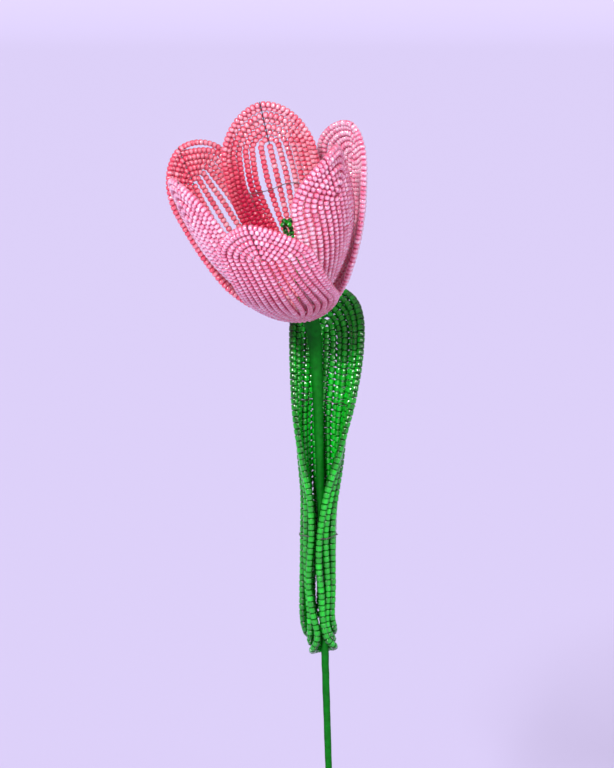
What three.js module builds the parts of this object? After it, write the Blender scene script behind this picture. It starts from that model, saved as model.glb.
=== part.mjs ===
// A tulip made of glass beads strung on wire, standing in a plain ceramic bud vase.
// Millimetres, +Z up, origin at the middle of the vase's flat bottom. The flower faces -Y.
import * as THREE from "three";

// Rows of beads. A petal or leaf is a straight basic row with rings of beads round it.
const petalRow = 2.12;
const petalRings = 7;
const leafRow = 2.0;
const leafRings = 6;

// Half-thickness of a beaded sheet on a bead, on the neck between two beads and between two rows.
const beadHalf = 0.95;
const neckHalf = 0.72;
const gapHalf = 0.4;

// Each ring shows fewer and longer beads than the real one.
const petalBeads = 20;
const leafBeads = 30;
const arcSteps = 24;

// Head: where the petals meet on the stem, and how the cup leans to the left and nods to the front.
const headAt = new THREE.Vector3(-11.64, 0, 293.8);
const headNod = 30.5;
const headLean = -16.8;
const headSpin = 3.8;

// Petals. turn is the angle round the cup, and midrib holds the [radius, height] control points of the
// petal's middle line. curl gives the cupping radius at base and tip, crown and heel the lengths of the
// round top and the pointed bottom against half the width, and point the power of the top's curve.
const petals = {
  petal_back: {
    turn: 80.3, midrib: [[2.6, 0], [4.7, 3.4], [22.1, 13.6], [22, 57.1]], curl: [19.8, 15.4],
    crown: 0.89, heel: 2.38, point: 1.69, twist: 3.8, lean: 2.4, width: 1.02,
  },
  petal_back_left: {
    turn: 134.4, midrib: [[2.6, -2.5], [11.1, -0.5], [25.4, 11.6], [30.8, 49.9]], curl: [15.5, 27.8],
    crown: 0.84, heel: 1.62, point: 1.78, twist: 2.1, lean: 3, width: 0.93,
  },
  petal_front_left: {
    turn: 197.5, midrib: [[2.6, 0], [3, 5.2], [26.8, 15.2], [21.1, 55.9]], curl: [15.7, 31.7],
    crown: 1.35, heel: 2.06, point: 2.13, twist: -4, lean: 5.8, width: 0.99,
  },
  petal_front: {
    turn: 258.6, midrib: [[2.6, -2.2], [5, 2.4], [30.4, 15.4], [24.5, 51.3]], curl: [17, 40],
    crown: 0.84, heel: 1.73, point: 1.55, twist: 20, lean: 3.5, width: 0.93,
  },
  petal_front_right: {
    turn: 315.5, midrib: [[2.6, 0], [2.1, 5.6], [25.9, 17.1], [22.2, 57.5]], curl: [32.5, 15],
    crown: 0.86, heel: 1.64, point: 2.3, twist: 0.9, lean: -0.8, width: 0.95,
  },
  petal_back_right: {
    turn: 19.4, midrib: [[2.6, -2.5], [7.7, 1.4], [24, 11.4], [28.2, 50.8]], curl: [12, 24.3],
    crown: 0.83, heel: 1.44, point: 1.67, twist: 4.9, lean: 3.7, width: 0.96,
  },
};
const heelPower = 1.4;

// Pistil: two strings of beads twisted together, with a wider top.
const pistilFoot = 1.6;
const pistilTall = 30;
const pistilTilt = 4.5;
const pistilRadius = 1.45;
const pistilTop = 1.85;
const pistilBead = 3;
const pistilTwist = 0.35;

// Stem: points of its curve from the vase's floor to the head, each with the tape's radius and the radius
// of the wires inside, which the petals' own wires thicken under the head.
const stemPoints = [
  { at: [-0.35, 0.4, 7.5], tape: 1.02, wires: 0.5 },
  { at: [-2.6, 1.5, 78], tape: 1.02, wires: 0.5 },
  { at: [-4.9, 2.6, 150], tape: 1.05, wires: 0.5 },
  { at: [-6.4, 3.4, 197], tape: 1.17, wires: 0.5 },
  { at: [-7.2, 3.9, 225], tape: 1.25, wires: 0.5 },
  { at: [-8.15, 4.7, 260], tape: 1.45, wires: 0.7 },
  { at: [-8.8, 5.2, 277], tape: 1.85, wires: 1 },
  { above: -8.5, tape: 2.2, wires: 1.4 },
  { above: -2.9, tape: 2.5, wires: 2 },
  { above: 1.3, tape: 2.5, wires: 2 },
];
const tapeGap = 0.28;
const tapeFoot = 6;
const tapeEnd = 4.2;
const stemSteps = 28;

// Leaf: stations from its base up, evenly spaced in height. Each gives the middle of its back, the
// radius of the trough there and the turn of the trough round the stem in degrees.
const leafFoot = 190.6;
const leafStep = 9.76;
const leafStations = [
  { x: -6.4, y: 6.7, radius: 2.9, roll: 0 },
  { x: -8.0, y: 7.5, radius: 3.95, roll: 4 },
  { x: -8.2, y: 7.9, radius: 4.26, roll: 8 },
  { x: -8.2, y: 8.1, radius: 4.25, roll: 12 },
  { x: -8.1, y: 8.3, radius: 4.25, roll: 12 },
  { x: -7.7, y: 8.6, radius: 4.6, roll: 10 },
  { x: -7.6, y: 8.9, radius: 5.6, roll: 5 },
  { x: -7.4, y: 9.4, radius: 6.9, roll: 0 },
  { x: -6.6, y: 10.3, radius: 8.6, roll: 0 },
  { x: -5.9, y: 12.4, radius: 10.4, roll: 0 },
  { x: -5.7, y: 16.0, radius: 11.2, roll: 0 },
  { x: -5.8, y: 21.0, radius: 11.5, roll: 0 },
];
const leafShape = { crown: 1.3, crownStep: 1.02, heel: 1.2, heelStep: 1, point: 1.9, heelPower: 2.4 };

// Vase: [radius, height] points of its outer side and of its inner side, both from the bottom up.
const vaseFoot = [[0, 0], [24.5, 0], [26, 1.2]];
const vaseOuter = [[26, 1.2], [32, 22], [32.6, 45], [26.5, 72], [15.5, 98], [10.1, 122], [9.8, 138], [12.2, 149]];
const vaseLip = [[12.2, 149], [12, 150], [10.9, 150.2], [9.6, 149]];
const vaseInner = [[9.6, 149], [6.6, 138], [6.7, 122], [12, 98], [23, 72], [29.2, 45], [28.6, 22], [20, 8.2]];
const vaseFloor = [[20, 8.2], [16, 7.2], [0, 7.2]];
const vaseSides = 32;

const radians = THREE.MathUtils.degToRad;

function finish(colour, roughness, metalness = 0) {
  return new THREE.MeshStandardMaterial({ color: colour, roughness, metalness });
}

const pinkGlass = finish("#e2607f", 0.18);
const greenGlass = finish("#0f9a2c", 0.2);
const floralTape = finish("#0c5a1e", 0.75);
const stemSteel = finish("#8f9296", 0.4, 1);
const glazedWhite = finish("#eeeae2", 0.28);

// Half a ring of the flat pattern at an offset from the middle line, from the bottom up the left side.
function ringHalf(offset, shape) {
  const low = shape.half * shape.heel;
  const high = shape.length - shape.half * shape.crown;
  const bottom = (shape.half - offset) * shape.heelStep;
  const top = shape.length - (shape.half - offset) * shape.crownStep;
  const path = [];
  for (let i = 0; i <= arcSteps; i++) {
    const angle = (Math.PI / 2) * (i / arcSteps);
    const across = Math.sin(angle) ** (2 / shape.heelPower);
    const along = Math.cos(angle) ** (2 / shape.heelPower);
    path.push([-offset * across, low - (low - bottom) * along]);
  }
  for (let i = arcSteps; i >= 0; i--) {
    const angle = (Math.PI / 2) * (i / arcSteps);
    const across = Math.max(0, Math.sin(angle)) ** (2 / shape.point);
    const along = Math.max(0, Math.cos(angle)) ** (2 / shape.point);
    path.push([-offset * across, high + (top - high) * along]);
  }
  return path;
}

// The point at a share of a path's whole length.
function pointAlong(path, share) {
  const reach = [0];
  for (let i = 1; i < path.length; i++) {
    reach.push(reach[i - 1] + Math.hypot(path[i][0] - path[i - 1][0], path[i][1] - path[i - 1][1]));
  }
  const wanted = share * reach[reach.length - 1];
  let i = 1;
  while (i < path.length - 1 && reach[i] < wanted) {
    i++;
  }
  const span = reach[i] - reach[i - 1];
  const part = span > 0 ? Math.min(1, (wanted - reach[i - 1]) / span) : 0;
  return [0, 1].map((k) => path[i - 1][k] + (path[i][k] - path[i - 1][k]) * part);
}

// A closed body from points and triangles, turned so that its faces point out.
function closedBody(points, faces) {
  let volume = 0;
  const edge = new THREE.Vector3();
  for (const [a, b, c] of faces) {
    volume += points[a].dot(edge.crossVectors(points[b], points[c]));
  }
  const order = volume > 0 ? [0, 1, 2] : [0, 2, 1];
  const geometry = new THREE.BufferGeometry();
  geometry.setAttribute("position", new THREE.Float32BufferAttribute(points.flatMap((p) => p.toArray()), 3));
  geometry.setIndex(faces.flatMap((face) => order.map((k) => face[k])));
  geometry.computeVertexNormals();
  return geometry;
}

// A beaded sheet with its rows and beads in relief on both faces. shape describes the flat pattern, and
// surface(x, y, lift) carries a point of the pattern, lifted off the sheet, into space.
function beadedSheet(shape, surface) {
  const points = [];
  const faces = [];
  const count = 2 * shape.beads;

  const add = (offset, place, lift) => {
    const left = place <= shape.beads;
    const share = (left ? place : count - place) / shape.beads;
    const [x, y] = pointAlong(ringHalf(offset, shape), share);
    points.push(surface(left ? x : -x, y, lift));
    return points.length - 1;
  };
  const ridge = (row, side) => {
    const ids = [];
    for (let place = 0; place < count; place++) {
      const mirrored = row === 0 && place > shape.beads;
      const lift = side * (place % 2 ? beadHalf : neckHalf);
      ids.push(mirrored ? ids[count - place] : add(row * shape.row, place, lift));
    }
    return ids;
  };
  const valley = (row, side) => {
    const ids = [];
    for (let bead = 0; bead < shape.beads; bead++) {
      ids.push(add((row + 0.5) * shape.row, 2 * bead + 1, side * gapHalf));
    }
    return ids;
  };
  const triangle = (a, b, c, turned) => faces.push(turned ? [a, c, b] : [a, b, c]);
  const strip = (crests, gaps, turned) => {
    for (let bead = 0; bead < shape.beads; bead++) {
      const [neck, crest, nextNeck] = [0, 1, 2].map((k) => crests[(2 * bead + k) % count]);
      const [gap, nextGap] = [0, 1].map((k) => gaps[(bead + k) % shape.beads]);
      triangle(neck, crest, gap, turned);
      triangle(crest, nextNeck, gap, turned);
      triangle(nextNeck, nextGap, gap, turned);
    }
  };

  const rim = [];
  for (let place = 0; place < count; place++) {
    rim.push(add(shape.rings * shape.row + (place % 2 ? beadHalf : neckHalf), place, 0));
  }
  for (const side of [1, -1]) {
    let crests = ridge(0, side);
    for (let row = 0; row < shape.rings; row++) {
      const gaps = valley(row, side);
      const nextCrests = ridge(row + 1, side);
      strip(crests, gaps, side < 0);
      strip(nextCrests, gaps, side > 0);
      crests = nextCrests;
    }
    for (let place = 0; place < count; place++) {
      const next = (place + 1) % count;
      triangle(crests[place], crests[next], rim[next], side < 0);
      triangle(crests[place], rim[next], rim[place], side < 0);
    }
  }
  return closedBody(points, faces);
}

// A petal, with its middle line in the XZ plane and the cup's axis along Z.
function petalGeometry(petal) {
  const midrib = new THREE.CubicBezierCurve(...petal.midrib.map(([r, h]) => new THREE.Vector2(r, h)));
  const length = midrib.getLength();
  const row = petalRow * petal.width;
  const shape = {
    rings: petalRings, row, beads: petalBeads, half: petalRings * row + beadHalf, length,
    crown: petal.crown, crownStep: Math.min(petal.crown, 1), point: petal.point,
    heel: petal.heel, heelStep: 1, heelPower,
  };
  const sideways = new THREE.Vector3(0, -1, 0);
  const surface = (x, y, lift) => {
    const share = THREE.MathUtils.clamp(y / length, 0, 1);
    const at = midrib.getPointAt(share);
    const along = midrib.getTangentAt(share);
    const inward = new THREE.Vector3(-along.y, 0, along.x);
    const twist = radians(petal.twist) * share;
    const across = sideways.clone().multiplyScalar(Math.cos(twist)).addScaledVector(inward, Math.sin(twist));
    const facing = inward.clone().multiplyScalar(Math.cos(twist)).addScaledVector(sideways, -Math.sin(twist));
    const radius = THREE.MathUtils.lerp(petal.curl[0], petal.curl[1], share);
    const angle = x / radius;
    return new THREE.Vector3(at.x, 0, at.y)
      .addScaledVector(across, radius * Math.sin(angle) - lift * Math.sin(angle))
      .addScaledVector(facing, radius * (1 - Math.cos(angle)) + lift * Math.cos(angle))
      .addScaledVector(sideways, petal.lean * share ** 2);
  };
  return beadedSheet(shape, surface);
}

// The leaf: a flat beaded pattern rolled to a trough whose radius changes up its length.
function leafGeometry() {
  const heights = leafStations.map((station, i) => leafFoot + leafStep * i);
  const spline = (list) => new THREE.CatmullRomCurve3(list, false, "catmullrom", 0.5);
  const back = spline(leafStations.map((station, i) => new THREE.Vector3(station.x, station.y, heights[i])));
  const rolling = spline(leafStations.map((station) => new THREE.Vector3(station.radius, station.roll, 0)));
  const length = back.getLength();
  const shape = {
    rings: leafRings, row: leafRow, beads: leafBeads, half: leafRings * leafRow + beadHalf, length, ...leafShape,
  };
  const right = new THREE.Vector3(1, 0, 0);
  const surface = (x, y, lift) => {
    const share = THREE.MathUtils.clamp(y / length, 0, 1);
    const rolled = rolling.getPoint(back.getUtoTmapping(share));
    const along = back.getTangentAt(share);
    const behind = new THREE.Vector3().crossVectors(along, right).normalize();
    const across = new THREE.Vector3().crossVectors(behind, along);
    const angle = x / rolled.x + radians(rolled.y);
    return back.getPointAt(share)
      .addScaledVector(behind, -rolled.x + (rolled.x - lift) * Math.cos(angle))
      .addScaledVector(across, (rolled.x - lift) * Math.sin(angle));
  };
  return beadedSheet(shape, surface);
}

// The pistil: a turned column whose section is pinched and twisted so that two strings of beads show.
function pistilGeometry() {
  const profile = [new THREE.Vector2(0, 0)];
  const steps = Math.round((2 * pistilTall) / pistilBead);
  for (let i = 0; i <= steps; i++) {
    const share = i / steps;
    const neck = i % 2 ? 1 : 0.78;
    const radius = THREE.MathUtils.lerp(pistilRadius, pistilTop, THREE.MathUtils.smoothstep(share, 0.8, 0.95));
    const close = i === steps ? 0.6 : 1;
    profile.push(new THREE.Vector2(radius * neck * close, 0.3 + share * (pistilTall - 0.6)));
  }
  profile.push(new THREE.Vector2(0, pistilTall));
  const column = new THREE.LatheGeometry(profile, 10);
  const place = column.getAttribute("position");
  for (let i = 0; i < place.count; i++) {
    const angle = Math.atan2(place.getZ(i), place.getX(i)) - pistilTwist * place.getY(i);
    const pinch = 1 + 0.2 * Math.cos(2 * angle);
    place.setX(i, place.getX(i) * pinch);
    place.setZ(i, place.getZ(i) * pinch);
  }
  column.rotateX(Math.PI / 2);
  return column;
}

// Frame of the head: Z is the cup's axis.
const headTurn = new THREE.Euler(radians(headNod), radians(headLean), radians(headSpin), "YXZ");
const headAxis = new THREE.Vector3(0, 0, 1).applyEuler(headTurn);
const onHeadAxis = (height) => headAt.clone().addScaledVector(headAxis, height);

const stemPath = new THREE.CatmullRomCurve3(
  stemPoints.map((point) => (point.at ? new THREE.Vector3(...point.at) : onHeadAxis(point.above))),
);
const stemLength = stemPath.getLength();
const stemRadii = new THREE.CatmullRomCurve3(
  stemPoints.map((point, i) => new THREE.Vector3(point.tape, point.wires, i)), false, "catmullrom", 0.5,
);

// Heights along the stem between two others, closer together towards its curved top.
function stemHeights(from, to) {
  const heights = [];
  for (let i = 0; i <= stemSteps; i++) {
    const height = stemLength * (1 - (1 - i / stemSteps) ** 1.7);
    if (height > from + 0.5 && height < to - 0.5) {
      heights.push(height);
    }
  }
  return [from, ...heights, to];
}

function stemRadius(height) {
  return stemRadii.getPoint(stemPath.getUtoTmapping(height / stemLength));
}

// A turned body whose straight axis is carried onto the stem's curve.
function bentOnStem(profile, sides) {
  const turned = new THREE.LatheGeometry(profile, sides);
  const place = turned.getAttribute("position");
  const point = new THREE.Vector3();
  for (let i = 0; i < place.count; i++) {
    point.fromBufferAttribute(place, i);
    const share = THREE.MathUtils.clamp(point.y / stemLength, 0, 1);
    const along = stemPath.getTangentAt(share);
    const front = new THREE.Vector3(1, 0, 0).cross(along).normalize();
    const side = along.clone().cross(front);
    const moved = stemPath.getPointAt(share).addScaledVector(side, point.x).addScaledVector(front, point.z);
    place.setXYZ(i, moved.x, moved.y, moved.z);
  }
  return turned;
}

// The wires run on through the petals' feet to the pistil.
function wiresGeometry() {
  const profile = stemHeights(0, stemLength).map((height) => new THREE.Vector2(stemRadius(height).y, height));
  return bentOnStem([new THREE.Vector2(0, 0), ...profile, new THREE.Vector2(0, stemLength)], 8);
}

// The floral tape is a sleeve round the wires.
function tapeGeometry() {
  const heights = stemHeights(tapeFoot, stemLength - tapeEnd);
  const outer = heights.map((height) => new THREE.Vector2(stemRadius(height).x, height));
  const inner = heights.map((height) => new THREE.Vector2(stemRadius(height).y + tapeGap, height)).reverse();
  return bentOnStem([...outer, ...inner, outer[0]], 10);
}

function vaseGeometry() {
  const smooth = (list, steps) =>
    new THREE.SplineCurve(list.map(([r, z]) => new THREE.Vector2(r, z))).getPoints(steps);
  const straight = (list) => list.map(([r, z]) => new THREE.Vector2(r, z));
  const profile = [
    ...straight(vaseFoot).slice(0, -1),
    ...smooth(vaseOuter, 14),
    ...straight(vaseLip).slice(1, -1),
    ...smooth(vaseInner, 11),
    ...straight(vaseFloor).slice(1),
  ];
  return new THREE.LatheGeometry(profile, vaseSides).rotateX(Math.PI / 2);
}

function piece(name, geometry, material) {
  const mesh = new THREE.Mesh(geometry, material);
  mesh.name = name;
  return mesh;
}

const head = new THREE.Group();
head.position.copy(headAt);
head.rotation.copy(headTurn);
for (const [name, petal] of Object.entries(petals)) {
  const mesh = piece(name, petalGeometry(petal), pinkGlass);
  mesh.rotation.z = radians(petal.turn);
  head.add(mesh);
}
const pistil = piece("pistil", pistilGeometry(), greenGlass);
pistil.position.z = pistilFoot;
pistil.rotation.y = radians(pistilTilt);
head.add(pistil);

const group = new THREE.Group();
group.add(head);
group.add(piece("stem_wires", wiresGeometry(), stemSteel));
group.add(piece("stem_tape", tapeGeometry(), floralTape));
group.add(piece("leaf", leafGeometry(), greenGlass));
group.add(piece("vase", vaseGeometry(), glazedWhite));

export default group;
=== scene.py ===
# A tulip of glass beads on wire, in a plain ceramic bud vase.
import math
import random

import bmesh
import bpy
import numpy as np
from mathutils import Matrix, Vector


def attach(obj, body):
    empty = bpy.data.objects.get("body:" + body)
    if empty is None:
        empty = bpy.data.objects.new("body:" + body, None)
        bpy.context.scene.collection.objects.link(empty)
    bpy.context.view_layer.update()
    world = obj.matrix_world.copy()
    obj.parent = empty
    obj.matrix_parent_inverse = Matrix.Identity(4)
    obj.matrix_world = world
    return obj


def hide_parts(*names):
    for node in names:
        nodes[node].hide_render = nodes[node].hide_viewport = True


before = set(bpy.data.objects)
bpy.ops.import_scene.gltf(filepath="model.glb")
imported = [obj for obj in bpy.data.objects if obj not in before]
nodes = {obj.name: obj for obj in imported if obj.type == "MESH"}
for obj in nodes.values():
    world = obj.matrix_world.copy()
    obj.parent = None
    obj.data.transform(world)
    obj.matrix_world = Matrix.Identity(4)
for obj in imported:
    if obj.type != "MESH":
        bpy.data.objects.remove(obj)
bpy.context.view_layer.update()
scene = bpy.context.scene
mm = 0.001
print("frame loaded")


# Small helpers

def deselectAll():
    if bpy.context.object and bpy.context.object.mode != "OBJECT":
        bpy.ops.object.mode_set(mode="OBJECT")
    bpy.ops.object.select_all(action="DESELECT")


def selectWhere(obj, kind, test):
    # selects the edges or faces of a mesh in edit mode that pass the test
    mesh = bmesh.from_edit_mesh(obj.data)
    for items in (mesh.verts, mesh.edges, mesh.faces):
        for item in items:
            item.select = False
    for item in getattr(mesh, kind):
        if test(item):
            item.select_set(True)
    bmesh.update_edit_mesh(obj.data)


def finishPiece(obj, name, material, slot, *replaced):
    obj.name = name
    obj.data.name = name
    obj.data.materials.clear()
    obj.data.materials.append(material)
    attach(obj, "root")
    if replaced:
        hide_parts(*replaced)


def newMesh(name, points, faces):
    mesh = bpy.data.meshes.new(name)
    mesh.from_pydata(points, [], faces)
    mesh.update()
    mesh.polygons.foreach_set("use_smooth", [True] * len(mesh.polygons))
    obj = bpy.data.objects.new(name, mesh)
    scene.collection.objects.link(obj)
    return obj


def newMaterial(name):
    material = bpy.data.materials.new(name)
    material.use_nodes = True
    tree = material.node_tree
    return material, tree, tree.nodes["Principled BSDF"]


def addNode(tree, kind, **inputs):
    node = tree.nodes.new(kind)
    for key, value in inputs.items():
        node.inputs[key.replace("_", " ")].default_value = value
    return node


# Camera, light and stage

view = {
    "aim": (-11.5, 0, 272), "elevation": 10, "distance": 609.5, "lens": 100,
    "paper": (0.62, 0.56, 0.80), "floor": 20, "rimWidth": 10, "rimHeight": 0.7, "rimSteps": 6,
    "air": (0.95, 0.88, 1.0), "airLight": 0.5, "sunAim": (0, 0, 0.25), "sunSpread": 12,
    "suns": {"keyLight": ((-0.35, -1.0, 0.85), 3.9), "fillLight": ((0.8, -0.8, 0.6), 0.9)},
}


def addCamera():
    data = bpy.data.cameras.new("camera")
    data.lens = view["lens"]
    data.sensor_width = 36
    data.clip_start = 0.01
    camera = bpy.data.objects.new("camera", data)
    tilt = math.radians(view["elevation"])
    aim = Vector(view["aim"]) * mm
    camera.location = aim + Vector((0, -math.cos(tilt), math.sin(tilt))) * view["distance"] * mm
    camera.rotation_euler = (math.radians(90 - view["elevation"]), 0, 0)
    scene.collection.objects.link(camera)
    scene.camera = camera


def addSoftSun(name, place, strength):
    # a far, wide, soft light
    data = bpy.data.lights.new(name, "SUN")
    data.angle = math.radians(view["sunSpread"])
    data.energy = strength
    light = bpy.data.objects.new(name, data)
    light.location = place
    light.rotation_euler = (Vector(view["sunAim"]) - Vector(place)).to_track_quat("-Z", "Y").to_euler()
    scene.collection.objects.link(light)


def addStage():
    deselectAll()
    bpy.ops.mesh.primitive_circle_add(vertices=96, radius=view["floor"], fill_type="NGON")
    floor = bpy.context.object
    bpy.ops.object.mode_set(mode="EDIT")
    selectWhere(floor, "edges", lambda edge: True)
    steps = view["rimSteps"]
    for step in range(1, steps + 1):  # lifts the rim a little past the horizon
        rise = view["rimHeight"] * (step ** 2 - (step - 1) ** 2) / steps ** 2
        before, here = (view["floor"] + view["rimWidth"] * k / steps for k in (step - 1, step))
        bpy.ops.mesh.extrude_edges_move(TRANSFORM_OT_translate={"value": (0, 0, rise)})
        bpy.ops.transform.resize(value=(here / before, here / before, 1), center_override=(0, 0, 0))
    bpy.ops.object.mode_set(mode="OBJECT")
    bpy.ops.object.shade_smooth()
    floor.name = "floor"
    material, tree, shader = newMaterial("floor_paper")
    shader.inputs["Base Color"].default_value = (*view["paper"], 1)
    shader.inputs["Roughness"].default_value = 0.9
    shader.inputs["Specular IOR Level"].default_value = 0.1
    floor.data.materials.append(material)

    world = bpy.data.worlds.new("studio")
    world.use_nodes = True
    world.node_tree.nodes["Background"].inputs["Color"].default_value = (*view["air"], 1)
    world.node_tree.nodes["Background"].inputs["Strength"].default_value = view["airLight"]
    scene.world = world
    scene.view_settings.view_transform = "Standard"


addCamera()
addStage()
for name, (place, strength) in view["suns"].items():
    addSoftSun(name, place, strength)
print("camera and stage ready")


# Materials

# colours of the glass, from the palest tone to the deepest, and its gloss
glassLooks = {
    "warm_pink_glass": {
        "stops": [(0, (1, 0.70, 0.78)), (0.25, (0.98, 0.32, 0.42)),
                  (0.5, (0.85, 0.06, 0.13)), (1, (0.66, 0, 0.055))],
        "transmission": 0.2, "roughness": 0.14, "specular": 0.35, "coatIor": 1.95,
    },
    "cool_pink_glass": {
        "stops": [(0, (1, 0.74, 0.86)), (0.25, (0.94, 0.27, 0.45)),
                  (0.5, (0.76, 0.07, 0.18)), (1, (0.40, 0, 0.05))],
        "transmission": 0.2, "roughness": 0.14, "specular": 0.35, "coatIor": 1.95,
    },
    "green_glass": {
        "stops": [(0, (0.14, 0.85, 0.20)), (0.25, (0.002, 0.56, 0.02)),
                  (0.5, (0, 0.30, 0.006)), (1, (0, 0.04, 0))],
        "transmission": 0.0, "roughness": 0.12, "specular": 0.05, "coatIor": 1.55,
    },
}


def unevenGloss(tree, shader, scale, detail, roughness, low, high):
    # roughness that changes a little from place to place
    place = addNode(tree, "ShaderNodeTexCoord")
    noise = addNode(tree, "ShaderNodeTexNoise", Scale=scale, Detail=detail)
    gloss = addNode(tree, "ShaderNodeMapRange", To_Min=roughness * low, To_Max=roughness * high)
    tree.links.new(place.outputs["Object"], noise.inputs["Vector"])
    tree.links.new(noise.outputs["Fac"], gloss.inputs["Value"])
    tree.links.new(gloss.outputs["Result"], shader.inputs["Roughness"])


def glassBeads(name):
    # tone, an attribute of the beads, picks the depth of the glass between the stops; it also carries the
    # painted highlight and painted shade on each bead and the painted shade and light on the petals
    look = glassLooks[name]
    material, tree, shader = newMaterial(name)
    tone = addNode(tree, "ShaderNodeAttribute")
    tone.attribute_name = "tone"
    ramp = addNode(tree, "ShaderNodeValToRGB")
    stops = look["stops"]
    ramp.color_ramp.elements[0].color = (*stops[0][1], 1)
    ramp.color_ramp.elements[1].color = (*stops[-1][1], 1)
    for place, colour in stops[1:-1]:
        ramp.color_ramp.elements.new(place).color = (*colour, 1)
    tree.links.new(tone.outputs["Fac"], ramp.inputs["Fac"])
    tree.links.new(ramp.outputs["Color"], shader.inputs["Base Color"])
    unevenGloss(tree, shader, 1500.0, 1.0, look["roughness"], 0.6, 1.4)
    shader.inputs["Transmission Weight"].default_value = look["transmission"]
    shader.inputs["IOR"].default_value = 1.5
    shader.inputs["Specular IOR Level"].default_value = look["specular"]
    shader.inputs["Coat Weight"].default_value = 1
    shader.inputs["Coat Roughness"].default_value = 0.06
    shader.inputs["Coat IOR"].default_value = look["coatIor"]
    return material


wireLooks = {
    "craft_wire": {"colour": (0.55, 0.54, 0.55), "roughness": 0.35},
    "dark_wire": {"colour": (0.17, 0.13, 0.14), "roughness": 0.45},
}


def metalWire(name):
    look = wireLooks[name]
    material, tree, shader = newMaterial(name)
    unevenGloss(tree, shader, 900.0, 2.0, look["roughness"], 0.7, 1.3)
    shader.inputs["Base Color"].default_value = (*look["colour"], 1)
    shader.inputs["Metallic"].default_value = 1
    return material


tapeLook = {
    "dark": (0.0, 0.05, 0.001), "light": (0.0, 0.17, 0.006), "grain": 700.0, "detail": 4.0,
    "bump": 0.5, "bumpHeight": 0.0002, "roughness": 0.6, "specular": 0.12,
}


def crepeTape():
    material, tree, shader = newMaterial("crepe_tape")
    place = addNode(tree, "ShaderNodeTexCoord")
    noise = addNode(tree, "ShaderNodeTexNoise", Scale=tapeLook["grain"], Detail=tapeLook["detail"])
    ramp = addNode(tree, "ShaderNodeValToRGB")
    ramp.color_ramp.elements[0].color = (*tapeLook["dark"], 1)
    ramp.color_ramp.elements[1].color = (*tapeLook["light"], 1)
    bump = addNode(tree, "ShaderNodeBump", Strength=tapeLook["bump"], Distance=tapeLook["bumpHeight"])
    tree.links.new(place.outputs["Object"], noise.inputs["Vector"])
    tree.links.new(noise.outputs["Fac"], ramp.inputs["Fac"])
    tree.links.new(ramp.outputs["Color"], shader.inputs["Base Color"])
    tree.links.new(noise.outputs["Fac"], bump.inputs["Height"])
    tree.links.new(bump.outputs["Normal"], shader.inputs["Normal"])
    shader.inputs["Roughness"].default_value = tapeLook["roughness"]
    shader.inputs["Specular IOR Level"].default_value = tapeLook["specular"]
    return material


# a satin glaze with fine specks and slow pooling, and a bare ring of clay below the height of the foot
glazeLook = {
    "white": (0.88, 0.86, 0.81), "speck": (0.40, 0.33, 0.25), "pooled": (0.80, 0.79, 0.76),
    "clay": (0.62, 0.50, 0.38), "specks": 380.0, "speckEdge": (0.10, 0.17), "pools": 45.0, "detail": 3.0,
    "foot": (0.0022, 0.0030), "clayRoughness": 0.85, "roughness": 0.28, "bump": 0.2, "bumpHeight": 0.0005,
}


def whiteGlaze():
    look = glazeLook
    material, tree, shader = newMaterial("white_glaze")
    place = addNode(tree, "ShaderNodeTexCoord")
    speck = addNode(tree, "ShaderNodeTexVoronoi", Scale=look["specks"])
    specks = addNode(tree, "ShaderNodeValToRGB")
    for element, at, colour in zip(specks.color_ramp.elements, look["speckEdge"], ("speck", "white")):
        element.position = at
        element.color = (*look[colour], 1)
    pool = addNode(tree, "ShaderNodeTexNoise", Scale=look["pools"], Detail=look["detail"])
    cloud = addNode(tree, "ShaderNodeMix")
    cloud.data_type = "RGBA"
    cloud.inputs["B"].default_value = (*look["pooled"], 1)
    split = addNode(tree, "ShaderNodeSeparateXYZ")
    foot = addNode(tree, "ShaderNodeMapRange", From_Min=look["foot"][0], From_Max=look["foot"][1])
    clay = addNode(tree, "ShaderNodeMix")
    clay.data_type = "RGBA"
    clay.inputs["A"].default_value = (*look["clay"], 1)
    gloss = addNode(tree, "ShaderNodeMapRange", To_Min=look["clayRoughness"], To_Max=look["roughness"])
    bump = addNode(tree, "ShaderNodeBump", Strength=look["bump"], Distance=look["bumpHeight"])
    links = tree.links
    for node in (speck, pool, split):
        links.new(place.outputs["Object"], node.inputs["Vector"])
    links.new(speck.outputs["Distance"], specks.inputs["Fac"])
    links.new(pool.outputs["Fac"], cloud.inputs["Factor"])
    links.new(specks.outputs["Color"], cloud.inputs["A"])
    links.new(split.outputs["Z"], foot.inputs["Value"])
    links.new(foot.outputs["Result"], clay.inputs["Factor"])
    links.new(cloud.outputs["Result"], clay.inputs["B"])
    links.new(clay.outputs["Result"], shader.inputs["Base Color"])
    links.new(foot.outputs["Result"], gloss.inputs["Value"])
    links.new(gloss.outputs["Result"], shader.inputs["Roughness"])
    links.new(pool.outputs["Fac"], bump.inputs["Height"])
    links.new(bump.outputs["Normal"], shader.inputs["Normal"])
    return material


warmPinkGlass = glassBeads("warm_pink_glass")
coolPinkGlass = glassBeads("cool_pink_glass")
greenGlass = glassBeads("green_glass")
craftWire = metalWire("craft_wire")
darkWire = metalWire("dark_wire")
tape = crepeTape()
glaze = whiteGlaze()
print("materials ready")


# Curves and surfaces, in millimetres

def reachOf(points):
    # distance along a path from its start to each of its points
    return np.concatenate([[0], np.cumsum(np.linalg.norm(np.diff(points, axis=0), axis=1))])


def slopeOf(points):
    # unit direction of a path at each of its points
    slope = np.gradient(points, axis=0)
    return slope / np.linalg.norm(slope, axis=1)[:, None]


def lookUp(at, reach, table):
    # rows of a table, one row for each point of a path, read at distances along the path
    return np.stack([np.interp(at, reach, column) for column in table.T], 1)


def evenly(points, count):
    # the points of a path again, evenly spaced along it, and the path's length
    reach = reachOf(points)
    return lookUp(np.linspace(0, reach[-1], count), reach, points), reach[-1]


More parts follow.
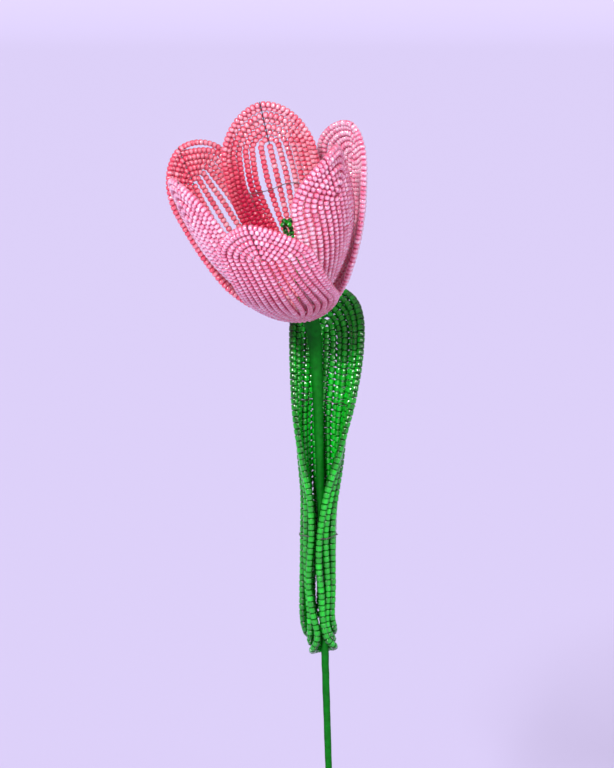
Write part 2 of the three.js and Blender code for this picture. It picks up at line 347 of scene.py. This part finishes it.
def splineThrough(points, steps, even=True):
    # a smooth curve through points; even treats all spans alike, otherwise long spans count for more
    points = np.array(points, float)
    ends = np.vstack([2 * points[0] - points[1], points, 2 * points[-1] - points[-2]])
    curve = []
    for i in range(len(points) - 1):
        a, b, c, d = ends[i:i + 4]
        if even:
            leave, arrive = (c - a) / 2, (d - b) / 2
        else:
            before, span, after = (np.sum((q - p) ** 2) ** 0.25 for p, q in ((a, b), (b, c), (c, d)))
            leave = ((b - a) / before - (c - a) / (before + span) + (c - b) / span) * span
            arrive = ((c - b) / span - (d - b) / (span + after) + (d - c) / after) * span
        t = np.linspace(0, 1, steps, endpoint=False)[:, None]
        curve.append(b + leave * t + (3 * (c - b) - 2 * leave - arrive) * t ** 2
                     + (2 * (b - c) + leave + arrive) * t ** 3)
    return np.vstack(curve + [points[-1:]])


def ringHalf(offset, shape, steps=40):
    # left half of a ring of the flat pattern, from the bottom to the top
    low = shape["half"] * shape["heel"]
    high = shape["length"] - shape["half"] * shape["crown"]
    angle = np.linspace(0, math.pi / 2, steps)
    foot = shape["half"] - offset
    tip = shape["length"] - (shape["half"] - offset) * shape["crownStep"]
    bottom = np.stack([-offset * np.sin(angle) ** (2 / shape["heelPower"]),
                       low - (low - foot) * np.cos(angle) ** (2 / shape["heelPower"])], 1)
    bottom[-1] = [-offset, low]
    top = np.stack([-offset * np.sin(angle) ** (2 / shape["point"]),
                    high + (tip - high) * np.clip(np.cos(angle), 0, 1) ** (2 / shape["point"])], 1)[::-1]
    top[0] = [-offset, high]
    return np.vstack([bottom, top])


# Beads

# one bead, and how much each copy differs in tilt, spin, size and tone, and how strong its painted highlight
# on the outward face and its painted shade on the sides and ends are
beads = {
    "long": 1.48, "across": 1.84, "sides": 10, "round": 0.56, "longRound": 0.3, "roundSteps": 3, "gap": 0.15,
    "tilt": 0.05, "spin": 0.63, "narrowest": 0.95, "shortest": 0.96, "toneSpread": 0.06,
    "facingShade": 0.30, "facingMiddle": 0.7, "endShade": 0.25, "endMiddle": 0.5, "probe": 0.3,
}


def makeBead(roundness):
    deselectAll()
    bpy.ops.mesh.primitive_cylinder_add(vertices=beads["sides"], radius=beads["across"] / 2,
                                        depth=beads["long"], rotation=(0, math.pi / 2, 0))
    bead = bpy.context.object
    bpy.ops.object.transform_apply(rotation=True)
    bpy.ops.object.mode_set(mode="EDIT")
    selectWhere(bead, "edges", lambda edge: edge.verts[0].co.x * edge.verts[1].co.x > 0)
    bpy.ops.mesh.bevel(offset=roundness, segments=beads["roundSteps"], profile=0.5)
    bpy.ops.object.mode_set(mode="OBJECT")
    points = np.array([v.co for v in bead.data.vertices])
    faces = [tuple(p.vertices) for p in bead.data.polygons]
    bpy.data.objects.remove(bead)
    return points, faces


roundBead = makeBead(beads["round"])
longBead = makeBead(beads["longRound"])
print("one bead:", len(roundBead[0]), "points,", len(roundBead[1]), "faces")


def stringOfBeads(path, normals, gap=0.0, size=1.0):
    # even places for beads along a path, with a gap at both ends, and their share of the path
    reach = reachOf(path)
    room = reach[-1] - 2 * gap
    count = max(1, round(room / (beads["long"] * size)))
    at = gap + room * (np.arange(count) + 0.5) / count
    along = lookUp(at + beads["probe"], reach, path) - lookUp(at - beads["probe"], reach, path)
    places = {"place": lookUp(at, reach, path), "along": along, "normal": lookUp(at, reach, normals),
              "pitch": room / count, "size": size}
    return places, at / reach[-1]


def joinBeads(name, strings, seed, tones, bead, shadeStrength):
    # strings of beads as one mesh, each bead a copy of its own with a slightly different size and tilt
    chance = random.Random(seed)
    beadPoints, beadFaces = bead
    allPoints, allFaces, allTones = [], [], []
    start = 0
    for string, tone in zip(strings, tones):
        for i in range(len(string["place"])):
            along = Vector(string["along"][i]).normalized()
            normal = Vector(string["normal"][i])
            normal = (normal - along * normal.dot(along)).normalized()
            across = normal.cross(along)
            turn = Matrix((along, across, normal)).transposed()
            tilt = Matrix.Rotation(chance.gauss(0, beads["tilt"]), 3, "Z")
            tilt = tilt @ Matrix.Rotation(chance.gauss(0, beads["tilt"]), 3, "Y")
            tilt = tilt @ Matrix.Rotation(chance.uniform(0, beads["spin"]), 3, "X")
            wide = string["size"] * chance.uniform(beads["narrowest"], 1.0)
            long = string["pitch"] / beads["long"] * chance.uniform(beads["shortest"], 1.0)
            matrix = np.array(turn @ tilt) * np.array([long, wide, wide])
            allPoints.append(string["place"][i] + beadPoints @ matrix.T)
            allFaces.extend([tuple(k + start for k in face) for face in beadFaces])
            # painted highlight where the bead faces out from its sheet, painted shade on its sides and
            # towards its ends, between the beads
            facing = np.abs((beadPoints @ np.array(tilt).T)[:, 2]) / (beads["across"] / 2)
            ends = np.abs(beadPoints[:, 0]) / (beads["long"] / 2)
            depth = beads["facingShade"] * (beads["facingMiddle"] - facing)
            depth = depth + beads["endShade"] * (ends - beads["endMiddle"])
            allTones.append(tone[i] + chance.gauss(0, beads["toneSpread"]) + shadeStrength * depth)
            start += len(beadPoints)
    obj = newMesh(name, np.vstack(allPoints) * mm, allFaces)
    attribute = obj.data.attributes.new("tone", "FLOAT", "POINT")
    attribute.data.foreach_set("value", np.clip(np.concatenate(allTones), 0, 1))
    return obj


# Petals

head = {"at": (-11.64, 0, 293.8), "nod": 30.5, "lean": -16.8, "spin": 3.8}
headTurn = np.array(Matrix.Rotation(math.radians(head["lean"]), 3, "Y")
                    @ Matrix.Rotation(math.radians(head["nod"]), 3, "X")
                    @ Matrix.Rotation(math.radians(head["spin"]), 3, "Z"))

# the rows of every petal, and how strongly each bead is given its painted highlight and shade
petalRows = {"row": 2.12, "rings": 7, "edge": 0.95, "heelPower": 1.4, "lastRing": 0.96, "trim": 0.52,
             "footLift": 0.3, "tipLift": 0.25, "sagsAbove": 30, "midribSteps": 400, "middleSteps": 60,
             "ringSteps": 160, "shadeStrength": 1.0, "firstSeed": 11}

# turn: round the flower; midrib: four points (out, up) of a curve; curl: radius across at foot and tip
# spots of painted shade where petals overlap, or of painted light where the amount is below zero: x, y, reach
# across, reach along, amount; sags: side, last ring, depth
# gaps between rows: side, after which ring, width, height of the middle, reach
# spots of tone: x, y, reach across, reach along, amount; sags: side, last ring, depth
# lacing: from x to x at a height of the flat pattern; bead: size of the beads, where it isn't 1
petals = {
    "petal_back": {
        "turn": 80.3, "midrib": [[2.6, 0], [4.7, 3.4], [22.1, 13.6], [22, 57.1]],
        "curl": [19.8, 15.4], "crown": 0.89, "heel": 2.38, "point": 1.69,
        "twist": 3.8, "lean": 2.4, "width": 1.02, "glass": warmPinkGlass, "tone": 0.32,
        "gaps": [[-1, 1, 1.2, 30, 16], [-1, 0, 0.7, 30, 18], [1, 0, 0.6, 30, 18],
                 [1, 1, 0.4, 35, 14], [-1, 3, 0.35, 38, 8]],
        "shadeAndLightSpots": [[-10, 28, 6.5, 16, 0.95]], "lacing": [[-9, 9, 35]],
    },
    "petal_back_left": {
        "turn": 134.4, "midrib": [[2.6, -2.5], [11.1, -0.5], [25.4, 11.6], [30.8, 49.9]],
        "curl": [15.5, 27.8], "crown": 0.84, "heel": 1.62, "point": 1.78,
        "twist": 2.1, "lean": 3, "width": 0.93, "glass": warmPinkGlass, "tone": 0.38,
        "gaps": [[1, 0, 1.1, 32, 15], [1, 1, 1.3, 32, 14], [1, 2, 0.9, 36, 12]],
        "shadeAndLightSpots": [[14, 28, 4, 14, 0.3], [-3, 50, 5, 9, 0.2]],
        "sags": [[1, 6, 1.2]], "lacing": [[1, 9, 31]],
    },
    "petal_front_left": {
        "turn": 197.5, "midrib": [[2.6, 0], [3, 5.2], [26.8, 15.2], [21.1, 55.9]],
        "curl": [15.7, 31.7], "crown": 1.35, "heel": 2.06, "point": 2.13,
        "twist": -4, "lean": 5.8, "width": 0.99, "glass": coolPinkGlass, "tone": 0.2,
        "shadeAndLightSpots": [[-12, 20, 5, 20, 0.15]],
    },
    "petal_front": {
        "turn": 258.6, "midrib": [[2.6, -2.2], [5, 2.4], [30.4, 15.4], [24.5, 51.3]],
        "curl": [17, 40], "crown": 0.84, "heel": 1.73, "point": 1.55,
        "twist": 20, "lean": 3.5, "width": 0.93, "glass": coolPinkGlass, "tone": 0.29, "bead": 0.93,
        "gaps": [[-1, 0, 0.7, 24, 16], [-1, 1, 0.7, 24, 16], [-1, 2, 0.6, 22, 15],
                 [-1, 3, 0.5, 21, 14], [-1, 4, 0.4, 20, 14]],
        "shadeAndLightSpots": [[-7, 20, 7, 16, 0.15]],
    },
    "petal_front_right": {
        "turn": 315.5, "midrib": [[2.6, 0], [2.1, 5.6], [25.9, 17.1], [22.2, 57.5]],
        "curl": [32.5, 15], "crown": 0.86, "heel": 1.64, "point": 2.3,
        "twist": 0.9, "lean": -0.8, "width": 0.95, "glass": coolPinkGlass, "tone": 0.29,
        "gaps": [[-1, 3, 0.3, 24, 14]], "shadeAndLightSpots": [[13, 34, 4, 18, -0.25]],
    },
    "petal_back_right": {
        "turn": 19.4, "midrib": [[2.6, -2.5], [7.7, 1.4], [24, 11.4], [28.2, 50.8]],
        "curl": [12, 24.3], "crown": 0.83, "heel": 1.44, "point": 1.67,
        "twist": 4.9, "lean": 3.7, "width": 0.96, "glass": coolPinkGlass, "tone": 0.18,
        "shadeAndLightSpots": [[-13, 22, 5, 16, 0.5]],
    },
}


def petalSurface(petal):
    # the petal's curved sheet: a function from flat x, y and lift to points and normals of the flower
    a, b, c, d = (np.array(p, float) for p in petal["midrib"])
    t = np.linspace(0, 1, petalRows["midribSteps"])[:, None]
    curve = a * (1 - t) ** 3 + 3 * b * t * (1 - t) ** 2 + 3 * c * t ** 2 * (1 - t) + d * t ** 3
    rib, length = evenly(curve, len(t))
    ribAndSlope = np.hstack([rib, slopeOf(rib)])
    turn = math.radians(petal["turn"])
    spin = np.array([[math.cos(turn), -math.sin(turn), 0], [math.sin(turn), math.cos(turn), 0], [0, 0, 1]])
    turned = headTurn @ spin
    curlFoot, curlTip = petal["curl"]

    def surface(x, y, lift):
        share = np.clip(y / length, 0, 1)
        r, h, dr, dh = lookUp(share, t[:, 0], ribAndSlope).T
        zero = np.zeros_like(r)
        sideways = np.stack([zero, zero - 1, zero], 1)
        inward = np.stack([-dh, zero, dr], 1)
        twist = np.radians(petal["twist"]) * share[:, None]
        across = sideways * np.cos(twist) + inward * np.sin(twist)
        facing = inward * np.cos(twist) - sideways * np.sin(twist)
        radius = (curlFoot + (curlTip - curlFoot) * share)[:, None]
        angle = x[:, None] / radius
        lift = np.broadcast_to(lift, x.shape)[:, None]
        point = np.stack([r, zero, h], 1) + across * (radius - lift) * np.sin(angle)
        point += facing * (radius * (1 - np.cos(angle)) + lift * np.cos(angle))
        point += sideways * petal["lean"] * share[:, None] ** 2
        normal = facing * np.cos(angle) - across * np.sin(angle)
        return point @ turned.T + np.array(head["at"]), normal @ turned.T

    return surface, length


def petalShape(petal, length):
    row = petalRows["row"] * petal["width"]
    return {"row": row, "half": petalRows["rings"] * row + petalRows["edge"], "length": length,
            "crown": petal["crown"], "crownStep": min(petal["crown"], 1), "heel": petal["heel"],
            "point": petal["point"], "heelPower": petalRows["heelPower"]}


def openRows(petal, ring, side, x, y):
    # parts the rows at the petal's gaps: the rows past a gap move out, the nearest most
    width = np.abs(x) / (ring * petalRows["row"] * petal["width"])
    for gapSide, after, wide, middle, reach in petal.get("gaps", []):
        if gapSide == side and ring > after:
            share = (petalRows["rings"] - ring) / (petalRows["rings"] - after - 1)
            x = x + side * wide * share * width / (1 + ((y - middle) / reach) ** 4)
    for sagSide, last, deep in petal.get("sags", []):
        if sagSide == side and ring <= last:
            y = y - np.where(y > petalRows["sagsAbove"], deep * 4 * width * (1 - width) * ring / last, 0)
    return x, y


def rowLift(ring, y, shape):
    # rows that lie closer than a bead's width stand a little before and behind each other
    low, high = shape["half"] * shape["heel"], shape["length"] - shape["half"] * shape["crown"]
    near = np.clip((low - y) / low, 0, 1) * petalRows["footLift"]
    near += np.clip((y - high) / (shape["length"] - high), 0, 1) * petalRows["tipLift"]
    if ring == petalRows["rings"]:
        return 0 * near
    return near if ring % 2 else -near


def surfaceString(surface, x, y, lift, gap, size):
    # a string of beads on a surface, which also keeps each bead's place on the flat pattern
    path, normals = surface(x, y, lift)
    string, share = stringOfBeads(path, normals, gap, size)
    reach = reachOf(path)
    string["flat"] = lookUp(share * reach[-1], reach, np.stack([x, y], 1))
    return string


def petalTone(petal, flat):
    # painted shade, deeper, or painted light, paler, round the spots of the flat pattern, over the petal's
    # own tone
    tone = np.full(len(flat), float(petal["tone"]))
    for x, y, wide, tall, amount in petal["shadeAndLightSpots"]:
        tone += amount * np.exp(-((flat[:, 0] - x) / wide) ** 2 - ((flat[:, 1] - y) / tall) ** 2)
    return tone


def middleRow(shape, count):
    # the basic row of the flat pattern, between the first ring's foot and tip
    ends = ringHalf(0.0, shape)[:, 1]
    return np.zeros(count), np.linspace(ends.min(), ends.max(), count)


def makePetal(name, petal, seed):
    surface, length = petalSurface(petal)
    shape = petalShape(petal, length)
    size = petal.get("bead", 1)
    x, y = middleRow(shape, petalRows["middleSteps"])
    strings = [surfaceString(surface, x, y, rowLift(0, y, shape), 0.0, size)]
    for ring in range(1, petalRows["rings"] + 1):
        last = ring == petalRows["rings"]
        offset = ring * shape["row"] - (petalRows["trim"] if last else 0)
        path = evenly(ringHalf(offset, shape), petalRows["ringSteps"])[0]
        ringSize = size * (petalRows["lastRing"] if last else 1)
        for side in (-1, 1):
            x, y = openRows(petal, ring, side, -side * path[:, 0], path[:, 1])
            strings.append(surfaceString(surface, x, y, rowLift(ring, y, shape), beads["gap"], ringSize))
    tones = [petalTone(petal, string["flat"]) for string in strings]
    obj = joinBeads(name, strings, seed, tones, roundBead, petalRows["shadeStrength"])
    finishPiece(obj, name + "_beads", petal["glass"], "petal_glass", name)
    return surface, shape


petalParts = {}
for order, (name, petal) in enumerate(petals.items()):
    petalParts[name] = makePetal(name, petal, petalRows["firstSeed"] + order)
print("petals ready")


# Leaf

leaf = {
    "row": 2.0, "rings": 6, "edge": 0.95, "crown": 1.3, "crownStep": 1.02, "heel": 1.2, "point": 1.9,
    "heelPower": 2.4, "foot": 190.6, "step": 9.76, "lineSteps": 60, "middleSteps": 120, "ringSteps": 200,
    # back of the trough (x, y), its radius and its turn in degrees, from the leaf's base up
    "stations": [
        [-6.4, 6.7, 2.9, 0], [-8.0, 7.5, 3.95, 4], [-8.2, 7.9, 4.26, 8], [-8.2, 8.1, 4.25, 12],
        [-8.1, 8.3, 4.25, 12], [-7.7, 8.6, 4.6, 10], [-7.6, 8.9, 5.6, 5], [-7.4, 9.4, 6.9, 0],
        [-6.6, 10.3, 8.6, 0], [-5.9, 12.4, 10.4, 0], [-5.7, 16.0, 11.2, 0], [-5.8, 21.0, 11.5, 0],
    ],
    # the strings swing loosely below a height of the flat pattern, but not at the foot
    "looseBelow": 62, "firmFoot": 8, "swing": 0.7, "swingWave": (0.17, 1.9), "sway": 0.3,
    # the rows' lift, bead size and tone, and how strongly each bead is given its painted highlight and shade
    "swayWave": (0.12, 2.3), "lift": 0.25, "beadSize": 1.2, "tone": 0.56, "shadeStrength": 2.0, "seed": 31,
    # from x to x at a height of the flat pattern
    "lacing": [[-12, 12, 75], [-12, 12, 36.5]],
}


def leafSurface():
    table = np.array(leaf["stations"], float)
    heights = leaf["foot"] + leaf["step"] * np.arange(len(table))
    line = splineThrough(np.column_stack([table[:, :2], heights, table[:, 2:]]), leaf["lineSteps"])
    reach = reachOf(line[:, :3])
    slope = slopeOf(line[:, :3])
    length = reach[-1]

    def surface(x, y, lift):
        at = np.clip(y, 0, length)
        back = lookUp(at, reach, line[:, :3])
        along = lookUp(at, reach, slope)
        behind = np.cross(along, [1, 0, 0])
        behind /= np.linalg.norm(behind, axis=1)[:, None]
        across = np.cross(behind, along)
        radius = np.interp(at, reach, line[:, 3])
        angle = x / radius + np.radians(np.interp(at, reach, line[:, 4]))
        inner = radius - np.broadcast_to(lift, x.shape)
        point = back - behind * radius[:, None] + behind * (inner * np.cos(angle))[:, None]
        point += across * (inner * np.sin(angle))[:, None]
        normal = -behind * np.cos(angle)[:, None] - across * np.sin(angle)[:, None]
        return point, normal

    return surface, length


def makeLeaf():
    surface, length = leafSurface()
    shape = dict(leaf, length=length, half=leaf["rings"] * leaf["row"] + leaf["edge"])
    x, y = middleRow(shape, leaf["middleSteps"])
    strings = [surfaceString(surface, x, y, 0.0, 0.0, leaf["beadSize"])]
    swingWave, swingShift = leaf["swingWave"]
    swayWave, swayShift = leaf["swayWave"]
    for ring in range(1, leaf["rings"] + 1):
        path = evenly(ringHalf(ring * leaf["row"], shape), leaf["ringSteps"])[0]
        for side in (-1, 1):
            x, y = path[:, 0], path[:, 1]
            loose = np.clip((leaf["looseBelow"] - y) / leaf["looseBelow"], 0, 1)
            loose *= np.clip(y / leaf["firmFoot"], 0, 1)
            x = x + leaf["swing"] * loose * np.sin(y * swingWave + ring * swingShift + side)
            lift = leaf["lift"] * (1 if ring % 2 else -1)
            lift = lift + leaf["sway"] * loose * np.sin(y * swayWave + ring * swayShift)
            strings.append(surfaceString(surface, -side * x, y, lift, beads["gap"], leaf["beadSize"]))
    tones = [np.full(len(string["place"]), leaf["tone"]) for string in strings]
    obj = joinBeads("leaf", strings, leaf["seed"], tones, longBead, leaf["shadeStrength"])
    finishPiece(obj, "leaf_beads", greenGlass, "leaf_glass", "leaf")
    return surface


leafSheet = makeLeaf()
print("leaf ready")


# Wires

wireWork = {"lace": 0.13, "seam": 0.16, "lift": 1.0, "leafLift": 1.35, "steps": 40,
            "fromFoot": 0.4, "fromTip": 0.5, "wave": 0.4, "leafWave": 0.3}


def makeWires():
    # a seam wire closes each petal's tip and foot on its middle line, and lacing wires cross the rows
    data = bpy.data.curves.new("lacing_wires", "CURVE")
    data.dimensions = "3D"
    data.bevel_depth = wireWork["lace"] * mm
    data.bevel_resolution = 1
    data.use_fill_caps = True

    def addWire(points, radius):
        spline = data.splines.new("POLY")
        spline.points.add(len(points) - 1)
        for point, place in zip(spline.points, points):
            point.co = (*(place * mm), 1)
            point.radius = radius / wireWork["lace"]

    steps = wireWork["steps"]
    for name, (surface, shape) in petalParts.items():
        x, y = middleRow(shape, steps)
        for low, high in ((wireWork["fromFoot"], y[0]), (y[-1], shape["length"] - wireWork["fromTip"])):
            addWire(surface(x, np.linspace(low, high, steps), 0.0)[0], wireWork["seam"])
        for left, right, height in petals[name].get("lacing", []):
            x = np.linspace(left, right, steps)
            y = height + wireWork["wave"] * np.sin(x * 0.5)
            addWire(surface(x, y, wireWork["lift"])[0], wireWork["lace"])
    for left, right, height in leaf["lacing"]:
        x = np.linspace(left, right, steps)
        for side in (-1, 1):
            y = height + wireWork["leafWave"] * np.sin(x)
            addWire(leafSheet(x, y, side * wireWork["leafLift"])[0], wireWork["lace"])
    wires = bpy.data.objects.new("lacing_wires", data)
    scene.collection.objects.link(wires)
    deselectAll()
    wires.select_set(True)
    bpy.context.view_layer.objects.active = wires
    bpy.ops.object.convert(target="MESH")
    bpy.ops.object.shade_smooth()
    finishPiece(bpy.context.object, "lacing_wires", darkWire, "wire")


makeWires()
print("wires ready")


# Stem

# points of the stem, or heights above the head's foot, with the tape's and the wires' radius
stemPoints = [
    {"at": [-0.35, 0.4, 7.5], "tape": 1.02, "wires": 0.5},
    {"at": [-2.6, 1.5, 78], "tape": 1.02, "wires": 0.5},
    {"at": [-4.9, 2.6, 150], "tape": 1.05, "wires": 0.5},
    {"at": [-6.4, 3.4, 197], "tape": 1.17, "wires": 0.5},
    {"at": [-7.2, 3.9, 225], "tape": 1.25, "wires": 0.5},
    {"at": [-8.15, 4.7, 260], "tape": 1.45, "wires": 0.7},
    {"at": [-8.8, 5.2, 277], "tape": 1.85, "wires": 1},
    {"above": -8.5, "tape": 2.2, "wires": 1.4},
    {"above": -2.9, "tape": 2.5, "wires": 2},
    {"above": 1.3, "tape": 2.5, "wires": 2},
]


def stemLine():
    up = headTurn @ np.array([0, 0, 1.0])
    points = [p["at"] if "at" in p else np.array(head["at"]) + up * p["above"] for p in stemPoints]
    curve = splineThrough(points, 60, even=False)
    radii = splineThrough([[p["tape"], p["wires"]] for p in stemPoints], 60)
    return curve, radii, reachOf(curve), slopeOf(curve)


def bendOnStem(obj, radiusAt):
    # moves a straight upright piece, in millimetres, onto the stem's curve
    curve, radii, reach, slope = stemLine()
    count = len(obj.data.vertices)
    place = np.empty(count * 3)
    obj.data.vertices.foreach_get("co", place)
    place = place.reshape(-1, 3)
    at = np.clip(place[:, 2], 0, reach[-1])
    middle = lookUp(at, reach, curve)
    along = lookUp(at, reach, slope)
    front = np.cross([1, 0, 0], along)
    front /= np.linalg.norm(front, axis=1)[:, None]
    side = np.cross(along, front)
    angle = np.arctan2(place[:, 1], place[:, 0])
    radius = radiusAt(at, angle, np.hypot(place[:, 0], place[:, 1]), *lookUp(at, reach, radii).T)
    moved = middle + side * (radius * np.cos(angle))[:, None] + front * (-radius * np.sin(angle))[:, None]
    obj.data.vertices.foreach_set("co", (moved * mm).ravel())
    obj.data.update()


# where the tape starts and ends, its fineness, the pitch and thickness of its turns, its wrinkles
tapeWrap = {"foot": 6.0, "end": 4.2, "sides": 20, "step": 0.6, "pitch": 7.0, "edge": 0.1, "lap": 0.9,
            "wrinkle": 0.02, "wrinkles": (3, 2.1, 0.9), "clearOfWires": 0.1}


def makeTape():
    total = stemLine()[2][-1] - tapeWrap["end"] - tapeWrap["foot"]
    deselectAll()
    bpy.ops.mesh.primitive_cylinder_add(vertices=tapeWrap["sides"], radius=1, depth=total,
                                        end_fill_type="NGON", location=(0, 0, tapeWrap["foot"] + total / 2))
    obj = bpy.context.object
    bpy.ops.object.transform_apply(location=True)
    bpy.ops.object.mode_set(mode="EDIT")
    selectWhere(obj, "edges", lambda edge: abs(edge.verts[0].co.z - edge.verts[1].co.z) > 1)
    bpy.ops.mesh.subdivide(number_cuts=int(total / tapeWrap["step"]))
    selectWhere(obj, "faces", lambda face: abs(face.normal.z) > 0.9)
    bpy.ops.mesh.inset(thickness=0.5)
    bpy.ops.object.mode_set(mode="OBJECT")

    roundWave, longWave, slowWave = tapeWrap["wrinkles"]

    def radiusAt(at, angle, own, outer, wires):
        # the rim of the cylinder becomes the tape's outside, and the inset of its ends fits the wires
        turn = (at / tapeWrap["pitch"] - angle / (2 * math.pi)) % 1
        lap = tapeWrap["edge"] * (1 - np.clip(turn / tapeWrap["lap"], 0, 1))
        wrinkle = tapeWrap["wrinkle"] * np.sin(angle * roundWave + at * longWave) * np.sin(at * slowWave)
        return np.where(own > 0.9, outer - tapeWrap["edge"] + lap + wrinkle, wires + tapeWrap["clearOfWires"])

    bendOnStem(obj, radiusAt)
    deselectAll()
    obj.select_set(True)
    bpy.context.view_layer.objects.active = obj
    bpy.ops.object.shade_smooth_by_angle(angle=math.radians(40))
    finishPiece(obj, "tape_wrap", tape, "floral_tape", "stem_tape")


makeTape()
print("stem ready")


# Pistil

# two twisted strings of beads with a ring of four at the top
pistil = {"foot": 1.6, "tall": 30, "tilt": 4.5, "reach": 0.82, "size": 0.82, "twist": 0.35,
          "fromFoot": 0.6, "fromTop": 2.6, "steps": 200, "topReach": 1.15, "topDrop": 1.1, "topSize": 0.95,
          # the top ring's turn and rise, the tone, and how strongly each bead is given its painted highlight
          # and shade
          "topTurn": 0.4, "topRise": 0.4, "tone": 0.66, "shadeStrength": 1.6, "seed": 41}


def makePistil():
    turned = headTurn @ np.array(Matrix.Rotation(math.radians(pistil["tilt"]), 3, "Y"))
    foot = np.array(head["at"]) + headTurn @ np.array([0, 0, pistil["foot"]])
    strings = []
    for start in (0, math.pi):
        height = np.linspace(pistil["fromFoot"], pistil["tall"] - pistil["fromTop"], pistil["steps"])
        angle = start + pistil["twist"] * height
        path = np.stack([pistil["reach"] * np.cos(angle), pistil["reach"] * np.sin(angle), height], 1)
        out = np.stack([np.cos(angle), np.sin(angle), 0 * height], 1)
        strings.append(stringOfBeads(path @ turned.T + foot, out @ turned.T, size=pistil["size"])[0])
    ring = np.arange(4) * math.pi / 2 + pistil["topTurn"]
    reach, height = pistil["topReach"], pistil["tall"] - pistil["topDrop"]
    top = np.stack([reach * np.cos(ring), reach * np.sin(ring), height + 0 * ring], 1)
    out = np.stack([np.cos(ring), np.sin(ring), pistil["topRise"] + 0 * ring], 1)
    tangent = np.stack([-np.sin(ring), np.cos(ring), 0 * ring], 1)
    strings.append({"place": top @ turned.T + foot, "along": tangent @ turned.T, "normal": out @ turned.T,
                    "pitch": beads["long"], "size": pistil["topSize"]})
    tones = [np.full(len(string["place"]), pistil["tone"]) for string in strings]
    obj = joinBeads("pistil", strings, pistil["seed"], tones, roundBead, pistil["shadeStrength"])
    finishPiece(obj, "pistil_beads", greenGlass, "leaf_glass", "pistil")


makePistil()
print("pistil ready")


# Vase

# (radius, height) of the profile, drawn up the outside, over the lip and down the inside
vase = {
    "bottom": [24.5, 0],
    "outer": [[26, 1.2], [32, 22], [32.6, 45], [26.5, 72], [15.5, 98], [10.1, 122], [9.8, 138], [12.2, 149]],
    "lip": [[12.2, 149], [12, 150], [10.9, 150.2], [9.6, 149]],
    "inner": [[9.6, 149], [6.6, 138], [6.7, 122], [12, 98], [23, 72], [29.2, 45], [28.6, 22], [20, 8.2]],
    "floor": [16, 7.2], "sides": 96, "trim": 0.998,
}


def makeVase():
    profile = np.vstack([[vase["bottom"]], splineThrough(vase["outer"], 6),
                         splineThrough(vase["lip"], 4)[1:-1], splineThrough(vase["inner"], 6),
                         [vase["floor"]]])
    profile[:, 0] *= vase["trim"]
    deselectAll()
    bpy.ops.mesh.primitive_circle_add(vertices=vase["sides"], radius=profile[0, 0] * mm, fill_type="NGON")
    obj = bpy.context.object
    bpy.ops.object.mode_set(mode="EDIT")
    selectWhere(obj, "faces", lambda face: True)
    for before, here in zip(profile[:-1], profile[1:]):
        rise = (here[1] - before[1]) * mm
        factor = here[0] / before[0]
        bpy.ops.mesh.extrude_region_move(TRANSFORM_OT_translate={"value": (0, 0, rise)})
        bpy.ops.transform.resize(value=(factor, factor, 1), center_override=(0, 0, 0))
    bpy.ops.mesh.select_all(action="SELECT")
    bpy.ops.mesh.normals_make_consistent(inside=False)
    bpy.ops.object.mode_set(mode="OBJECT")
    bpy.ops.object.shade_smooth_by_angle(angle=math.radians(50))
    finishPiece(obj, "vase_body", glaze, "glaze", "vase")


makeVase()
print("vase ready")

nodes["stem_wires"].data.materials.clear()
nodes["stem_wires"].data.materials.append(craftWire)
